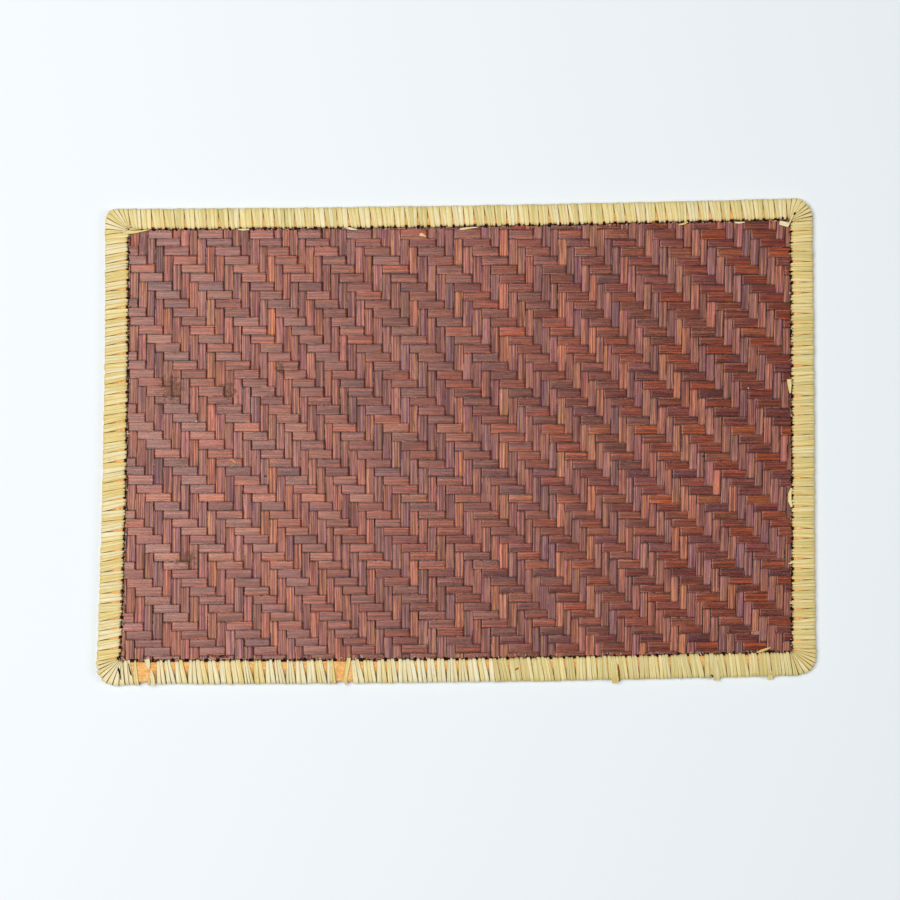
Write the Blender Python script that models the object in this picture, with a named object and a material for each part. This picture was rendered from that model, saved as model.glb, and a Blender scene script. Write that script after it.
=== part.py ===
"""Bamboo placemat: a flat twill-woven panel, a rim of four bamboo slats, and a wrapped strand binding.

The panel is one thin sheet. A slat lies along each of its edges, on the top face, and strand is
wound round slat and panel edge together, down through the weave at the inner edge of the rim and
back up round the outside. Each run of it is built as one sleeve whose raised ribs are the bands
of turns. One band near the front left corner has slipped off, so the slat is bare there.
The mat lies flat on its binding: +X along the long edges, +Y to the back edge, +Z up, with the
origin under the middle of its bounding box.
"""

import math
import random
from collections import namedtuple

import bmesh
import bpy
from mathutils import Vector

MM = 0.001

# Driving sizes, in millimetres
LENGTH = 450.0
WIDTH = 300.0
SKEW = 7.0  # how much further right the back edge stands than the front edge
GAP = 0.3  # left between pieces that touch

PANEL_INSET = 1.2  # from the outer edge of the rim to the edge of the panel
PANEL_BOTTOM = 0.9
PANEL_THICKNESS = 1.2
SLAT_THICKNESS = 1.6
SLAT_BEVEL = 0.8  # taken off the height of the slat's outer edge

RIB_RISE = 0.35  # how far a band of turns stands above the groove beside it
RIB_OUT = 0.3  # and how far outside it
RIB_SPAN = (0.25, 0.75)  # where along a band the rib's flat top starts and ends
RIB_UNEVEN = 0.15  # share by which the bands differ in width and in height
FAN_BANDS = 3  # bands in each half of a corner's fan
FAN_INNER = 3.5  # length of the inner edge that half a fan of bands takes up
BARE_LENGTH = 9.5  # of slat that shows where a band has slipped off

Corner = namedtuple("Corner", "x y radius")
CORNERS = {
    "front_left": Corner(-(LENGTH + SKEW) / 2, -WIDTH / 2, 13.5),
    "front_right": Corner((LENGTH - SKEW) / 2, -WIDTH / 2, 10.0),
    "back_right": Corner((LENGTH + SKEW) / 2, WIDTH / 2, 10.0),
    "back_left": Corner(-(LENGTH - SKEW) / 2, WIDTH / 2, 7.5),
}

# One row for each side, counter-clockwise. The bow is how far the middle of the edge stands
# outside a straight one, and the lean how far a turn's inner end lies ahead of its outer end.
# The bare band is the one that has slipped off, counted from the side's start.
Side = namedtuple("Side", "name start end rim bow pitch lean bare_band")
SIDES = (
    Side("front", "front_left", "front_right", 14.7, 1.5, 7.0, -1.5, FAN_BANDS + 1),
    Side("right", "front_right", "back_right", 14.0, 0.6, 6.8, 0.3, None),
    Side("back", "back_right", "back_left", 11.8, -1.3, 7.0, -1.0, None),
    Side("left", "back_left", "front_left", 12.8, -1.5, 6.1, 0.8, None),
)

# A section's points across the rim. "across" is measured from the rim's outer or inner edge,
# "rise" and "out" say how much of the rib's height and width the point takes.
Point = namedtuple("Point", "edge across height rise out")
SLEEVE_OUTSIDE = (
    Point("inner", 0.0, 2.4, 0.0, 0.0),
    Point("inner", 1.3, 4.6, 1.0, 0.0),
    Point("outer", 1.9, 4.7, 1.0, 0.0),
    Point("outer", 0.35, 3.6, 0.3, 1.0),
    Point("outer", 0.3, 0.9, 0.0, 1.0),
    Point("outer", 1.0, 0.0, 0.0, 0.0),
)
SLEEVE_INSIDE = (
    Point("inner", 0.8, 2.4, 0.0, 0.0),
    Point("inner", 1.9, 4.3, 0.0, 0.0),
    Point("outer", 2.1, 4.3, 0.0, 0.0),
    Point("outer", 0.9, 3.4, 0.0, 0.0),
    Point("outer", 0.9, 0.6, 0.0, 0.0),
    Point("inner", 0.0, 0.6, 0.0, 0.0),
    Point("inner", 0.0, 0.0, 0.0, 0.0),
)
SLAT_BOTTOM = PANEL_BOTTOM + PANEL_THICKNESS + GAP
SLAT_TOP = SLAT_BOTTOM + SLAT_THICKNESS
SLAT_SECTION = (
    Point("inner", 1.25, SLAT_BOTTOM, 0.0, 0.0),
    Point("inner", 2.3, SLAT_TOP, 0.0, 0.0),
    Point("outer", 2.45, SLAT_TOP, 0.0, 0.0),
    Point("outer", 1.35, SLAT_TOP - SLAT_BEVEL, 0.0, 0.0),
    Point("outer", 1.35, SLAT_BOTTOM, 0.0, 0.0),
)

ARC_STEPS = 10  # straight pieces in half a corner's arc
SIDE_STEPS = 30  # and in the bowed edge between two corners
STATIONS_A_BAND = 1 + len(RIB_SPAN)  # a groove and the two ends of a rib's flat top
COARSE_EVERY = 15  # an inside section at every so many outside ones
SMOOTH_ANGLE = math.radians(40)


def rotated_left(vector):
    """A plan vector turned a quarter turn counter-clockwise."""
    return Vector((-vector.y, vector.x))


def corner_point(name):
    return Vector((CORNERS[name].x, CORNERS[name].y))


def direction(side):
    """The way along a side, counter-clockwise round the mat."""
    return (corner_point(side.end) - corner_point(side.start)).normalized()


def bowed(start, end, bow, steps):
    """Points from start to end along an edge whose middle stands outside by bow."""
    outward = -rotated_left((end - start).normalized())
    points = []
    for step in range(steps + 1):
        share = step / steps
        points.append(start.lerp(end, share) + outward * bow * 4 * share * (1 - share))
    return points


def corner_arc(before, after):
    """The rounded corner between two sides, as an even number of straight pieces."""
    corner = CORNERS[after.start]
    tip = corner_point(after.start)
    back_along = -direction(before)
    ahead = direction(after)
    half_angle = back_along.angle(ahead) / 2
    to_centre = (back_along + ahead).normalized()
    centre = tip + to_centre * corner.radius / math.sin(half_angle)
    first = -rotated_left(direction(before))
    turn = math.pi - 2 * half_angle
    points = []
    for step in range(2 * ARC_STEPS + 1):
        angle = turn * step / (2 * ARC_STEPS)
        spoke = first * math.cos(angle) + rotated_left(first) * math.sin(angle)
        points.append(centre + spoke * corner.radius)
    return points


def neighbours(side):
    place = SIDES.index(side)
    return SIDES[place - 1], SIDES[(place + 1) % len(SIDES)]


def outer_path(side):
    """A side's outer edge from the middle of one corner's arc to the middle of the next."""
    before, after = neighbours(side)
    start_arc = corner_arc(before, side)[ARC_STEPS:]
    end_arc = corner_arc(side, after)[: ARC_STEPS + 1]
    middle = bowed(start_arc[-1], end_arc[0], side.bow, SIDE_STEPS)
    return start_arc[:-1] + middle + end_arc[1:]


def inner_corner(before, after):
    """Where the inner edges of two sides' rims cross."""
    tip = corner_point(after.start)
    along_before, along_after = direction(before), direction(after)
    square = along_before.cross(along_after)
    return tip - along_before * after.rim / square + along_after * before.rim / square


def inner_path(side):
    """A side's inner rim edge from one inner corner to the next."""
    before, after = neighbours(side)
    return bowed(inner_corner(before, side), inner_corner(side, after), side.bow, SIDE_STEPS)


def path_length(path):
    return sum((b - a).length for a, b in zip(path, path[1:]))


def along(path, distance):
    """The point at a distance along a path."""
    for a, b in zip(path, path[1:]):
        piece = (b - a).length
        if distance <= piece:
            return a.lerp(b, distance / piece)
        distance -= piece
    return path[-1].copy()


Station = namedtuple("Station", "inner outer rib tightness")


def band_edges(side, fan, length):
    """Distances along the outer edge at which one band of turns ends and the next begins."""
    rng = random.Random("bands " + side.name)
    count = round((length - fan[0] - fan[1]) / side.pitch)
    widths = [1 + rng.uniform(-RIB_UNEVEN, RIB_UNEVEN) for _ in range(count)]
    if side.bare_band is not None:
        widths[side.bare_band - FAN_BANDS] = BARE_LENGTH / side.pitch
    unit = (length - fan[0] - fan[1]) / sum(widths)
    edges = [fan[0] * step / FAN_BANDS for step in range(FAN_BANDS + 1)]
    for width in widths:
        edges.append(edges[-1] + width * unit)
    edges += [length - fan[1] * (1 - step / FAN_BANDS) for step in range(1, FAN_BANDS + 1)]
    return edges


def stations(side):
    """Pairs of inner and outer plan points, three for each band: a groove and two on the rib."""
    rng = random.Random("heights " + side.name)
    outer, inner = outer_path(side), inner_path(side)
    outer_length, inner_length = path_length(outer), path_length(inner)
    middle = inner_length - 2 * FAN_INNER
    fans = (outer_length - middle) / 2 - side.lean, (outer_length - middle) / 2 + side.lean

    def inner_distance(distance):
        if distance < fans[0]:
            return FAN_INNER * distance / fans[0]
        if distance > outer_length - fans[1]:
            return inner_length - FAN_INNER * (outer_length - distance) / fans[1]
        return FAN_INNER + distance - fans[0]

    def station(distance, rib):
        end_gap = GAP / 2
        on_outer = min(max(distance, end_gap), outer_length - end_gap)
        inner_gap = end_gap * math.sqrt(2)
        on_inner = min(max(inner_distance(distance), inner_gap), inner_length - inner_gap)
        in_fan = distance < fans[0] or distance > outer_length - fans[1]
        tightness = FAN_INNER / fans[0] if in_fan else 1.0
        return Station(along(inner, on_inner), along(outer, on_outer), rib, tightness)

    found = []
    edges = band_edges(side, fans, outer_length)
    for start, end in zip(edges, edges[1:]):
        rib = 1 - rng.uniform(0, RIB_UNEVEN)
        found.append(station(start, 0.0))
        found += [station(start + share * (end - start), rib) for share in RIB_SPAN]
    found.append(station(outer_length, 0.0))
    return found


def section_point(station, point):
    """A section's point in space, at a station along the rim."""
    inward = (station.inner - station.outer).normalized()
    if point.edge == "outer":
        plan = station.outer + inward * (point.across + RIB_OUT * (1 - station.rib * point.out))
        rise = RIB_RISE * station.rib * point.rise
    else:
        plan = station.inner - inward * point.across
        rise = RIB_RISE * station.rib * point.rise * station.tightness
    return Vector((plan.x, plan.y, point.height + rise)) * MM


def chain(mesh, section, rim_stations):
    """Rows of mesh points, one row for each of a section's points."""
    return [[mesh.verts.new(section_point(s, point)) for s in rim_stations] for point in section]


def join_even(mesh, first, second):
    """Faces between two rows with the same number of points."""
    for a, b, c, d in zip(first, first[1:], second[1:], second):
        mesh.faces.new((a, b, c, d))


def join_uneven(mesh, first, second):
    """Triangles between two rows with different numbers of points, by the shorter diagonal."""
    i = j = 0
    while i < len(first) - 1 or j < len(second) - 1:
        next_first = (first[i + 1].co - second[j].co).length if i < len(first) - 1 else math.inf
        next_second = (second[j + 1].co - first[i].co).length if j < len(second) - 1 else math.inf
        if next_first <= next_second:
            mesh.faces.new((first[i], first[i + 1], second[j]))
            i += 1
        else:
            mesh.faces.new((first[i], second[j + 1], second[j]))
            j += 1


def coarse(rim_stations):
    """The stations that the smooth surfaces use: all of the fans', and a few in between."""
    last = len(rim_stations) - 1
    return [
        s for place, s in enumerate(rim_stations)
        if s.tightness < 1 or place in (0, last) or place % COARSE_EVERY == 0
    ]


def finish(name, mesh, look):
    """Make the object of a finished mesh, shaded smooth with its real edges kept sharp."""
    bmesh.ops.recalc_face_normals(mesh, faces=mesh.faces[:])
    data = bpy.data.meshes.new(name)
    mesh.to_mesh(data)
    mesh.free()
    data.shade_smooth()
    data.set_sharp_from_angle(angle=SMOOTH_ANGLE)
    data.materials.append(look)
    piece = bpy.data.objects.new(name, data)
    bpy.context.scene.collection.objects.link(piece)
    return piece


def build_binding(name, rim_stations, look):
    """A run of wound strand, as a ribbed sleeve round the slat and the panel's edge."""
    mesh = bmesh.new()
    outside = chain(mesh, SLEEVE_OUTSIDE, rim_stations)
    inside = chain(mesh, SLEEVE_INSIDE, coarse(rim_stations))
    for first, second in zip(outside, outside[1:]):
        join_even(mesh, first, second)
    for first, second in zip(inside, inside[1:]):
        join_even(mesh, first, second)
    join_uneven(mesh, outside[0], inside[0])
    join_uneven(mesh, outside[-1], inside[-1])
    for end in (0, -1):
        ring = [row[end] for row in outside] + [row[end] for row in reversed(inside)]
        mesh.faces.new(ring)
    return finish(name, mesh, look)


def build_bindings(side, look):
    """A side's binding: one run, or a short and a long one where a band has slipped off."""
    rim_stations = stations(side)
    name = "binding_" + side.name
    if side.bare_band is None:
        return [build_binding(name, rim_stations, look)]
    first = STATIONS_A_BAND * side.bare_band
    return [
        build_binding(name + "_corner", rim_stations[: first + 1], look),
        build_binding(name, rim_stations[first + STATIONS_A_BAND:], look),
    ]


def build_slat(side, look):
    """One side's flat bamboo slat, mitred to its neighbours, its upper edges taken off."""
    rim_stations = coarse(stations(side))
    plain = [s._replace(rib=1.0) for s in rim_stations]
    mesh = bmesh.new()
    rows = chain(mesh, SLAT_SECTION, plain)
    for first, second in zip(rows, rows[1:] + rows[:1]):
        join_even(mesh, first, second)
    for end in (0, -1):
        mesh.faces.new([row[end] for row in rows])
    return finish("slat_" + side.name, mesh, look)


def build_panel(look):
    """The woven panel: one thin sheet with the rim's outline, a little inside it."""
    outline = []
    for side in SIDES:
        outline += outer_path(side)[:-1]
    inset = []
    for place, point in enumerate(outline):
        tangent = (outline[(place + 1) % len(outline)] - outline[place - 1]).normalized()
        inset.append(point + rotated_left(tangent) * (RIB_OUT + PANEL_INSET))
    mesh = bmesh.new()
    low = PANEL_BOTTOM
    high = PANEL_BOTTOM + PANEL_THICKNESS
    bottom = [mesh.verts.new(Vector((p.x, p.y, low)) * MM) for p in inset]
    top = [mesh.verts.new(Vector((p.x, p.y, high)) * MM) for p in inset]
    mesh.faces.new(bottom)
    mesh.faces.new(top)
    join_even(mesh, bottom + bottom[:1], top + top[:1])
    return finish("woven_panel", mesh, look)


def look(name, colour, roughness):
    """A plain material in the part's own colour."""
    made = bpy.data.materials.new(name)
    made.use_nodes = True
    shader = made.node_tree.nodes["Principled BSDF"]
    shader.inputs["Base Color"].default_value = (*colour, 1.0)
    shader.inputs["Roughness"].default_value = roughness
    shader.inputs["Metallic"].default_value = 0.0
    return made


def centre(pieces):
    """Move all the meshes so that the origin is under the middle of their box."""
    points = [vertex.co for piece in pieces for vertex in piece.data.vertices]
    middle_x = (min(p.x for p in points) + max(p.x for p in points)) / 2
    middle_y = (min(p.y for p in points) + max(p.y for p in points)) / 2
    for piece in pieces:
        for vertex in piece.data.vertices:
            vertex.co.x -= middle_x
            vertex.co.y -= middle_y


def main():
    for old in list(bpy.data.objects):
        bpy.data.objects.remove(old, do_unlink=True)
    woven = look("dyed_bamboo_strips", (0.27, 0.085, 0.055), 0.55)
    slat_wood = look("bamboo_slat", (0.80, 0.42, 0.14), 0.5)
    strand = look("pale_strand", (0.74, 0.63, 0.31), 0.45)
    pieces = [build_panel(woven)]
    for side in SIDES:
        pieces.append(build_slat(side, slat_wood))
        pieces += build_bindings(side, strand)
    centre(pieces)


main()
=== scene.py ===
"""Bamboo placemat: the looks of a hand-woven mat, strip by strip and turn by turn.

Dyed bamboo strips cross in a three-over, three-under twill. A flat slat lies along each edge, and
pale strand is wound round slat and weave together. Lengths are in millimetres until a mesh is made.
"""

import bisect
import math
import random
from collections import namedtuple

import bmesh
import bpy
from mathutils import Matrix, Vector


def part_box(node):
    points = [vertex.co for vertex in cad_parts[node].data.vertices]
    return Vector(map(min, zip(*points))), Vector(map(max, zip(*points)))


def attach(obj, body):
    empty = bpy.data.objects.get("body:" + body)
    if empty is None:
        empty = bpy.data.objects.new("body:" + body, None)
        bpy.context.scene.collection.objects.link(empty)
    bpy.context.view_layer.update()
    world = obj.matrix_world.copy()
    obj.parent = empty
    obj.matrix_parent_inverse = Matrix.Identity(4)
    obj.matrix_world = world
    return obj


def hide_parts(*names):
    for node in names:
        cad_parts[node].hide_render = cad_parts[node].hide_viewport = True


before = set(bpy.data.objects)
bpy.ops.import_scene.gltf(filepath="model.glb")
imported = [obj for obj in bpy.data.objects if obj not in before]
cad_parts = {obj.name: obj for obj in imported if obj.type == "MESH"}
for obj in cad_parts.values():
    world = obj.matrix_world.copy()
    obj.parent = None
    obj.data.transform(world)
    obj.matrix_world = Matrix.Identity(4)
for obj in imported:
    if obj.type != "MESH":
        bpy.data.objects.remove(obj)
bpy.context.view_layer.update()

# The cut sheet. The maker weaves a larger sheet and cuts it to a rectangle that leans a little,
# with rounded corners and edges that bow. All the rest is set out from this outline, which is
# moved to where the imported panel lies.
MM = 0.001
LENGTH = 451.2  # like the width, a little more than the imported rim's: the turns stand out of it
WIDTH = 301.6
SKEW = 7.0  # how much further right the back edge stands than the front edge
CUT_INSET = 1.5  # from the rim's outermost line in to the cut edge of the weave
ARC_STEPS = 10
SIDE_STEPS = 30

Corner = namedtuple("Corner", "x y radius")
CORNERS = {
    "front_left": Corner(-(LENGTH + SKEW) / 2, -WIDTH / 2, 13.5),
    "front_right": Corner((LENGTH - SKEW) / 2, -WIDTH / 2, 12.5),
    "back_right": Corner((LENGTH + SKEW) / 2, WIDTH / 2, 12.0),
    "back_left": Corner(-(LENGTH - SKEW) / 2, WIDTH / 2, 7.5),
}
# A side has its two corners, its rim's width, and how far its middle stands out.
Side = namedtuple("Side", "name start end rim bow")
SIDES = (
    Side("front", "front_left", "front_right", 15.2, 1.5),
    Side("right", "front_right", "back_right", 14.4, 0.6),
    Side("back", "back_right", "back_left", 13.6, -1.3),
    Side("left", "back_left", "front_left", 15.0, -1.5),
)


def rotated_left(vector):
    """A plan vector turned a quarter turn counter-clockwise."""
    return Vector((-vector.y, vector.x))


def corner_point(name):
    return Vector((CORNERS[name].x, CORNERS[name].y))


def direction(side):
    """The way along a side, counter-clockwise round the mat."""
    return (corner_point(side.end) - corner_point(side.start)).normalized()


def neighbours(side):
    place = SIDES.index(side)
    return SIDES[place - 1], SIDES[(place + 1) % len(SIDES)]


def bowed(start, end, bow):
    """Points from start to end along an edge whose middle stands outside by bow."""
    outward = -rotated_left((end - start).normalized())
    shares = [step / SIDE_STEPS for step in range(SIDE_STEPS + 1)]
    # 4 * share * (1 - share) is 0 at the edge's ends and 1 in its middle.
    return [start.lerp(end, share) + outward * bow * 4 * share * (1 - share) for share in shares]


def corner_arc(before, after):
    """The rounded corner between two sides."""
    tip = corner_point(after.start)
    radius = CORNERS[after.start].radius
    half_angle = direction(after).angle(-direction(before)) / 2
    to_centre = (direction(after) - direction(before)).normalized()
    centre = tip + to_centre * radius / math.sin(half_angle)
    first = -rotated_left(direction(before))
    points = []
    for step in range(2 * ARC_STEPS + 1):
        angle = (math.pi - 2 * half_angle) * step / (2 * ARC_STEPS)
        spoke = first * math.cos(angle) + rotated_left(first) * math.sin(angle)
        points.append(centre + spoke * radius)
    return points


def outer_edge(side):
    """A side's outer edge from the middle of one corner's arc to the middle of the next."""
    before, after = neighbours(side)
    start_arc = corner_arc(before, side)[ARC_STEPS:]
    end_arc = corner_arc(side, after)[: ARC_STEPS + 1]
    return start_arc[:-1] + bowed(start_arc[-1], end_arc[0], side.bow) + end_arc[1:]


def cut_outline():
    """The edge of the cut sheet, all the way round."""
    outline = [point for side in SIDES for point in outer_edge(side)[:-1]]
    inset = []
    for place, point in enumerate(outline):
        tangent = outline[(place + 1) % len(outline)] - outline[place - 1]
        inset.append(point + rotated_left(tangent.normalized()) * CUT_INSET)
    return inset


def middle_of(points):
    """The middle of the points' box."""
    x, y = [point[0] for point in points], [point[1] for point in points]
    return Vector(((min(x) + max(x)) / 2, (min(y) + max(y)) / 2))


LOW_CORNERS = {"front_right": 1.2}  # how far a corner lies below its even place
packed_middle = middle_of([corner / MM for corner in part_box("woven_panel")])
shift = packed_middle - middle_of(cut_outline())
CORNERS = {
    name: Corner(corner.x + shift.x, corner.y + shift.y - LOW_CORNERS.get(name, 0.0), corner.radius)
    for name, corner in CORNERS.items()
}
OUTLINE = cut_outline()


def inside(x, y):
    """Whether a plan point lies on the cut sheet."""
    within = False
    for a, b in zip(OUTLINE, OUTLINE[1:] + OUTLINE[:1]):
        if (a.y > y) != (b.y > y) and x < a.x + (y - a.y) / (b.y - a.y) * (b.x - a.x):
            within = not within
    return within


# The strips. Bamboo is split into flat strips about five millimetres wide, dyed red-brown in a
# pot, and woven by hand: each goes over three and under three, one step further along each row.
# The wefts run along the mat and the warps across it, neither quite square to its edges.
STRIP_THICKNESS = 0.42
STRIP_EDGE = 0.2  # thickness at a strip's thin edges
CRIMP = 0.36  # how far a strip's middle goes above and below the middle of the weave
WEAVE_MIDDLE = sum(corner.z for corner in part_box("woven_panel")) / 2 / MM
DIVE = 0.62  # from the edge of a crossing strip to where a strip has nearly come up or gone down
STEEP = 0.96  # share of its crimp that it has there
LEVEL = 1.15  # from the same edge to where it has all of it
FLOAT = 3  # strips that a strip passes over or under at a time
UNEVEN = 0.3  # how far a strip's edge may lie from its even place
LIFT = 0.04  # how far a float may arch up
ROLL = 0.02  # how far a float may tip sideways, as a slope
ROLL_KEPT = 0.5  # share of that slope which goes on to the next place along the strip
SLACK = (0.12, 0.34)  # gap between two strips
LOOSE_SLACK = 0.9  # the same where they have slid apart
LOOSE_SHARE = 0.1

# Where every sixth strip lies. The warps are given by the x of their left edge at two values of y,
# the wefts by the y of their middle at two values of x.
WARP_LINES = (127.0, -124.0)
WARP_PLACES = {
    0: (-190.0, -193.1), 6: (-157.9, -158.6), 12: (-124.4, -124.7), 18: (-94.7, -93.8),
    24: (-63.3, -63.8), 30: (-28.7, -31.7), 36: (5.8, 2.4), 42: (40.4, 35.6),
    48: (71.6, 64.8), 54: (100.9, 93.5), 60: (131.1, 122.3), 66: (161.7, 152.3), 72: (194.5, 182.6),
}
WARP_NUMBERS = (-7, 80)
WEFT_LINES = (-159.0, 153.0)
WEFT_PLACES = {
    -1: (134.5, 129.5), 5: (101.1, 94.7), 11: (66.9, 61.0), 17: (33.8, 27.3), 23: (0.1, -7.0),
    29: (-33.9, -39.4), 35: (-65.4, -69.9), 41: (-98.3, -100.8), 47: (-130.5, -131.8),
}
WEFT_NUMBERS = (-5, 52)

# How the dye took: a letter for each strip in turn, at either end of it.
Shade = namedtuple("Shade", "red green blue gloss")
SHADES = {
    "O": Shade(1.52, 1.62, 0.60, 1.20),  # orange, hardly dyed
    "A": Shade(1.22, 1.22, 0.76, 1.08),  # amber
    "P": Shade(1.08, 1.05, 1.50, 1.10),  # pink
    "R": Shade(1.10, 1.00, 0.75, 1.00),  # red
    "N": Shade(0.96, 0.98, 1.00, 1.00),  # the usual brown
    "B": Shade(0.96, 0.90, 0.75, 0.92),  # deep brown
    "G": Shade(0.90, 0.85, 0.85, 0.90),  # grey brown
    "V": Shade(0.92, 0.88, 1.42, 1.00),  # violet
    "D": Shade(0.66, 0.64, 1.15, 0.88),  # dark plum
}
WEFT_DYES = (
    "NNNNP VVAAADAGGN RABNNBGRGG NAAVRGDAPO VNAAVAOAVN NNVNPGVNNN NNN",
    "NNNNA VOVNDVGRGN ARRNVGNDGV NONBAGVVVO DANAVVVADN GARNANDRNN NNN",
)
WARP_DYES = (
    "NNNNAND DNAVAPORRV NVVOPNAVAR BDVDPRNNAV ADNGDAVGPN ONNRDDPORD ROANDRVVAG NGABABVRNV DGRRPGNNNN N",
    "NNNNABG DRPVRPAGPP PDAOPPAGRN BANGNADDND AGGGDAGGGR OGDRGDDOBG BONGDRBVAR ANOOVNPANA DVNGBGNNNN N",
)
ORDINARY_DYE = (0.192, 0.0375, 0.0156, 0.45)  # its fourth number is how glossy it is
FLOAT_TONE = 0.09  # how far one float may be lighter or darker than the next
FLOAT_WARMTH = 0.25  # and how far warmer or cooler
WARM_RED = 0.7  # how much redder, less blue and less glossy a float is for its warmth
WARM_BLUE = 1.3
WARM_GLOSS = 0.3


def along_table(places, number, end):
    """A strip's place at one end, read between the strips in the table or beyond them."""
    known = sorted(places)
    after = min(max(bisect.bisect_left(known, number), 1), len(known) - 1)
    low, high = known[after - 1], known[after]
    share = (number - low) / (high - low)
    return places[low][end] + share * (places[high][end] - places[low][end])


def edge_lines(places, numbers, lines, start, name):
    """A function for each strip's first edge, which gives its place at a distance along it."""
    rng = random.Random(name)
    ends = {}
    for number in range(numbers[0], numbers[1] + 2):
        off = [rng.uniform(-UNEVEN, UNEVEN) for _ in lines]
        ends[number] = [along_table(places, number + start, end) + off[end] for end in (0, 1)]

    def place(number, distance):
        share = (distance - lines[0]) / (lines[1] - lines[0])
        between = number % 1
        low, high = ends[math.floor(number)], ends[math.ceil(number)]
        first, last = [a + between * (b - a) for a, b in zip(low, high)]
        return first + share * (last - first)

    return place


warp_edge = edge_lines(WARP_PLACES, WARP_NUMBERS, WARP_LINES, 0, "warp edges")
weft_edge = edge_lines(WEFT_PLACES, WEFT_NUMBERS, WEFT_LINES, -0.5, "weft edges")


def dyed(letter):
    """The colour and gloss of a strip on which the dye took as the letter says."""
    return [usual * changed for usual, changed in zip(ORDINARY_DYE, SHADES[letter])]


def weft_on_top(weft, warp):
    return (warp - weft) % (2 * FLOAT) < FLOAT


def placed(name, data):
    """A new object in the scene."""
    made = bpy.data.objects.new(name, data)
    bpy.context.scene.collection.objects.link(made)
    return made


SHARP_ANGLE = math.radians(38)  # edges that turn by more than this stay sharp


class Strands:
    """Many like strands gathered into one mesh, each a closed tube of rings of points.

    Each point keeps where it lies in its strand, as metres along, -1 to 1 across and the strand's
    number, under the name "fibre", and its colour and gloss under the name "dye". On some pieces
    that colour also holds painted shade: where strips dive, under the fans, in holes and slits.
    """

    def __init__(self):
        self.points = []
        self.faces = []
        self.fibre = []
        self.dye = []
        self.count = 0

    def add(self, rings, along, across, dyes):
        first = len(self.points)
        size = len(across)
        self.count += 1
        for ring, distance, dye in zip(rings, along, dyes):
            for point, side in zip(ring, across):
                self.points.append(point * MM)
                self.fibre.append((distance * MM, side, self.count))
                self.dye.append(dye)
        for row in range(first, first + size * (len(rings) - 1), size):
            for k in range(size):
                after = (k + 1) % size
                self.faces.append((row + k, row + after, row + size + after, row + size + k))
        last = first + size * (len(rings) - 1)
        self.faces.append([first + k for k in range(size)])
        self.faces.append([last + k for k in range(size)])

    def piece(self, name, finish, slot):
        """The mesh as a piece of the mat, with its finish."""
        data = bpy.data.meshes.new(name)
        data.from_pydata(self.points, [], self.faces)
        for values, label, kind, part, length in (
            (self.fibre, "fibre", "FLOAT_VECTOR", "vector", 3),
            (self.dye, "dye", "FLOAT_COLOR", "color", 4),
        ):
            kept = data.attributes.new(label, kind, "POINT")
            flat = [number for value in values for number in value[:length]]
            kept.data.foreach_set(part, flat)
        mesh = bmesh.new()
        mesh.from_mesh(data)
        bmesh.ops.recalc_face_normals(mesh, faces=mesh.faces[:])
        mesh.to_mesh(data)
        mesh.free()
        data.shade_smooth()
        data.set_sharp_from_angle(angle=SHARP_ANGLE)
        data.materials.append(finish)
        made = placed(name, data)
        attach(made, "root")
        return made


# A strip's section: how far across it, as a share of half its width, and how far from its middle.
HALF = STRIP_THICKNESS / 2
STRIP_SECTION = (
    (-1.0, STRIP_EDGE / 2), (-0.62, HALF), (0.62, HALF), (1.0, STRIP_EDGE / 2),
    (1.0, -STRIP_EDGE / 2), (0.5, -HALF), (-0.5, -HALF), (-1.0, -STRIP_EDGE / 2),
)

# A place along a strip: its height there, and how light, warm and glossy the strip is. Its
# lightness and warmth hold painted shade where it dives under a crossing strip.
Station = namedtuple("Station", "place height tone warmth shine")
DIVE_PAINTED_SHADE = 0.4  # painted shade: how light a strip is where it dives between two floats
DIVE_SHADE_COOLING = 0.4  # how much cooler that painted shade is
CREASE_SHINE = 0.35  # and how glossy
DIVE_SHINE = 0.7  # how glossy it is just beside that place
CUT_STEPS = 8  # how finely the place of a cut is looked for between two stations


def crimped(edges, tops, rng):
    """The stations along a strip, from the edges of the strips that it crosses."""
    way = math.copysign(1, edges[-1] - edges[0])
    stations = []
    tone, warmth = 1.0, 0.0
    for place, (start, end) in enumerate(zip(edges, edges[1:])):
        level = CRIMP if tops[place] else -CRIMP
        before = level if place == 0 or tops[place] == tops[place - 1] else -level
        after = level if place + 1 == len(tops) or tops[place] == tops[place + 1] else -level
        if before != level:
            stations.append(Station(start - LEVEL * way, before, tone, warmth, 1.0))
            stations.append(Station(start - DIVE * way, before * STEEP, tone, warmth, DIVE_SHINE))
            tone = 1 + rng.uniform(-FLOAT_TONE, FLOAT_TONE)
            warmth = rng.uniform(-FLOAT_WARMTH, FLOAT_WARMTH)
            # Painted shade where the strip dives under the crossing one: darker and cooler.
            stations.append(Station(start, 0.0, DIVE_PAINTED_SHADE, warmth - DIVE_SHADE_COOLING, CREASE_SHINE))
            stations.append(Station(start + DIVE * way, level * STEEP, tone, warmth, DIVE_SHINE))
            stations.append(Station(start + LEVEL * way, level, tone, warmth, 1.0))
        if before == after == level:
            arched = level + math.copysign(rng.uniform(0, LIFT), level)
            stations.append(Station((start + end) / 2, arched, tone, warmth, 1.0))
    return stations


def trimmed(stations, fits):
    """The stations that lie on the sheet, and one more at either end where the strip is cut."""
    kept = [place for place, station in enumerate(stations) if fits(station.place)]
    if not kept:
        return []
    ends = []
    for last, beyond in ((kept[0], kept[0] - 1), (kept[-1], kept[-1] + 1)):
        near, far = stations[last], stations[min(max(beyond, 0), len(stations) - 1)]
        share = max(part / CUT_STEPS for part in range(CUT_STEPS) if fits(
            near.place + (far.place - near.place) * part / CUT_STEPS
        ))
        ends.append(Station(*[a + share * (b - a) for a, b in zip(near, far)]))
    return [ends[0]] + [stations[place] for place in kept[1:-1]] + [ends[1]]


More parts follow.
